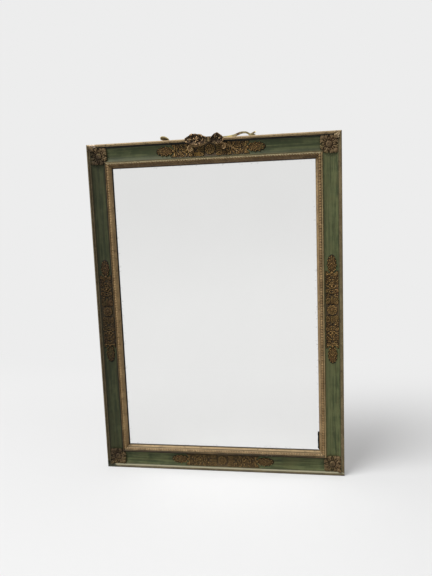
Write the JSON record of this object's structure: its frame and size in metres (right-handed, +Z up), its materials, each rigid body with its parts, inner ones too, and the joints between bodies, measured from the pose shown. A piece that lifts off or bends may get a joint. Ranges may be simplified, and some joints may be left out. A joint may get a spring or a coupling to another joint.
{
  "type": "framed wall mirror",
  "caption": "Upright rectangular wall mirror in a deep moulded frame with a hollow painted frieze, gilt mouldings, cast ornaments, a ribbon bow on top and hanging rings behind.",
  "frame": {"origin": "middle of the frame's underside, between the front and back of the wooden frame", "axes": "+X to the right as seen from the front, +Y from the front to the back, +Z up"},
  "size_m": [0.81, 0.0584, 1.1186],
  "materials": {
    "green_paint": "matte worn olive green paint",
    "gilt_outer": "wood with worn bronze gilding",
    "gilt_sight": "wood with worn gilding over a pale ground",
    "bronzed_cast": "dark aged bronze with rubbed highlights",
    "gilt_ribbon": "carved wood with aged gilding",
    "mirror": "polished silvered glass",
    "bare_pine": "bare aged pine",
    "back_boards": "rough dry pine boards",
    "iron": "dull dark iron",
    "old_brass": "dulled brass"
  },
  "bodies": {
    "frame": {"bottom_rail": "green_paint", "right_stile": "green_paint", "top_rail": "green_paint", "left_stile": "green_paint", "outer_moulding_bottom": "gilt_outer", "outer_moulding_right": "gilt_outer", "outer_moulding_top": "gilt_outer", "outer_moulding_left": "gilt_outer", "sight_moulding_bottom": "gilt_sight", "sight_moulding_right": "gilt_sight", "sight_moulding_top": "gilt_sight", "sight_moulding_left": "gilt_sight", "mitre_keys": "bare_pine", "patera_bottom": "bronzed_cast", "patera_right": "bronzed_cast", "patera_top": "bronzed_cast", "patera_left": "bronzed_cast", "spray_bottom_right": "bronzed_cast", "spray_bottom_left": "bronzed_cast", "spray_right_upper": "bronzed_cast", "spray_right_lower": "bronzed_cast", "spray_top_left": "bronzed_cast", "spray_top_right": "bronzed_cast", "spray_left_lower": "bronzed_cast", "spray_left_upper": "bronzed_cast", "rosette_bottom_left": "bronzed_cast", "rosette_bottom_right": "bronzed_cast", "rosette_top_left": "bronzed_cast", "rosette_top_right": "bronzed_cast", "bow_knot": "gilt_ribbon", "bow_loop_left": "gilt_ribbon", "bow_loop_right": "gilt_ribbon", "bow_tail_left": "gilt_ribbon", "bow_tail_right": "gilt_ribbon", "ribbon_streamer_right": "gilt_ribbon", "ribbon_stub_left": "gilt_ribbon", "mirror_glass": "mirror", "glazing_blocks": "bare_pine", "backboard_bottom": "back_boards", "backboard_middle": "back_boards", "backboard_top": "back_boards", "backboard_nails": "iron", "hanger_straps": "old_brass", "hanger_screws": "iron"},
    "ring_left": {"hanger_ring_left": "old_brass"},
    "ring_right": {"hanger_ring_right": "old_brass"}
  },
  "joints": [
    {"name": "ring_left_swing", "type": "hinge", "parent": "frame", "child": "ring_left", "pos_m": [-0.3735, 0.0208, 0.838], "axis": [1, 0, 0], "range_deg": [0, 180]},
    {"name": "ring_right_swing", "type": "hinge", "parent": "frame", "child": "ring_right", "pos_m": [0.3735, 0.0208, 0.838], "axis": [1, 0, 0], "range_deg": [0, 180]}
  ]
}
